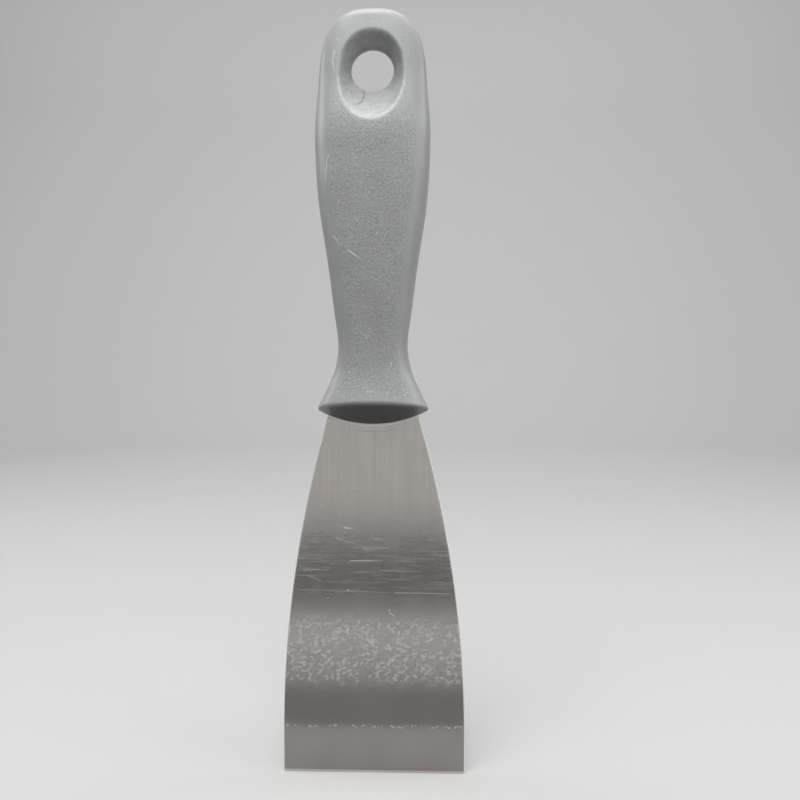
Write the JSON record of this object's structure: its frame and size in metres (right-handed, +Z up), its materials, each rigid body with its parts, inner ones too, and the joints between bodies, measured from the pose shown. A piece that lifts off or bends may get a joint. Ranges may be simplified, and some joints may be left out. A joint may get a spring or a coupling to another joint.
{
  "type": "flexible putty knife",
  "caption": "Hand tool with a thin flexible steel blade that flares to a straight tip, held by its hidden tang in a moulded plastic handle with a flared bolster and a dished hanging hole.",
  "frame": {"origin": "centre of the hanging hole, in the blade's mid-plane", "axes": "+Z up along the knife from its tip to the handle's top end, +X across its width, -Y out of its front face"},
  "size_m": [0.05, 0.02, 0.2085],
  "materials": {
    "blade_steel": "ground and polished spring steel, fine scratches",
    "handle_plastic": "satin with a fine spark-eroded grain, smoother rounded sides"
  },
  "bodies": {
    "handle": {"handle": "handle_plastic"},
    "blade": {"blade": "blade_steel"}
  },
  "joints": [
    {"name": "blade_flex", "type": "hinge", "parent": "handle", "child": "blade", "pos_m": [0, 0, -0.11081], "axis": [1, 0, 0], "range_deg": [-25, 25], "stiffness_Nm_per_rad": 3.7, "deforming": ["blade"]}
  ]
}
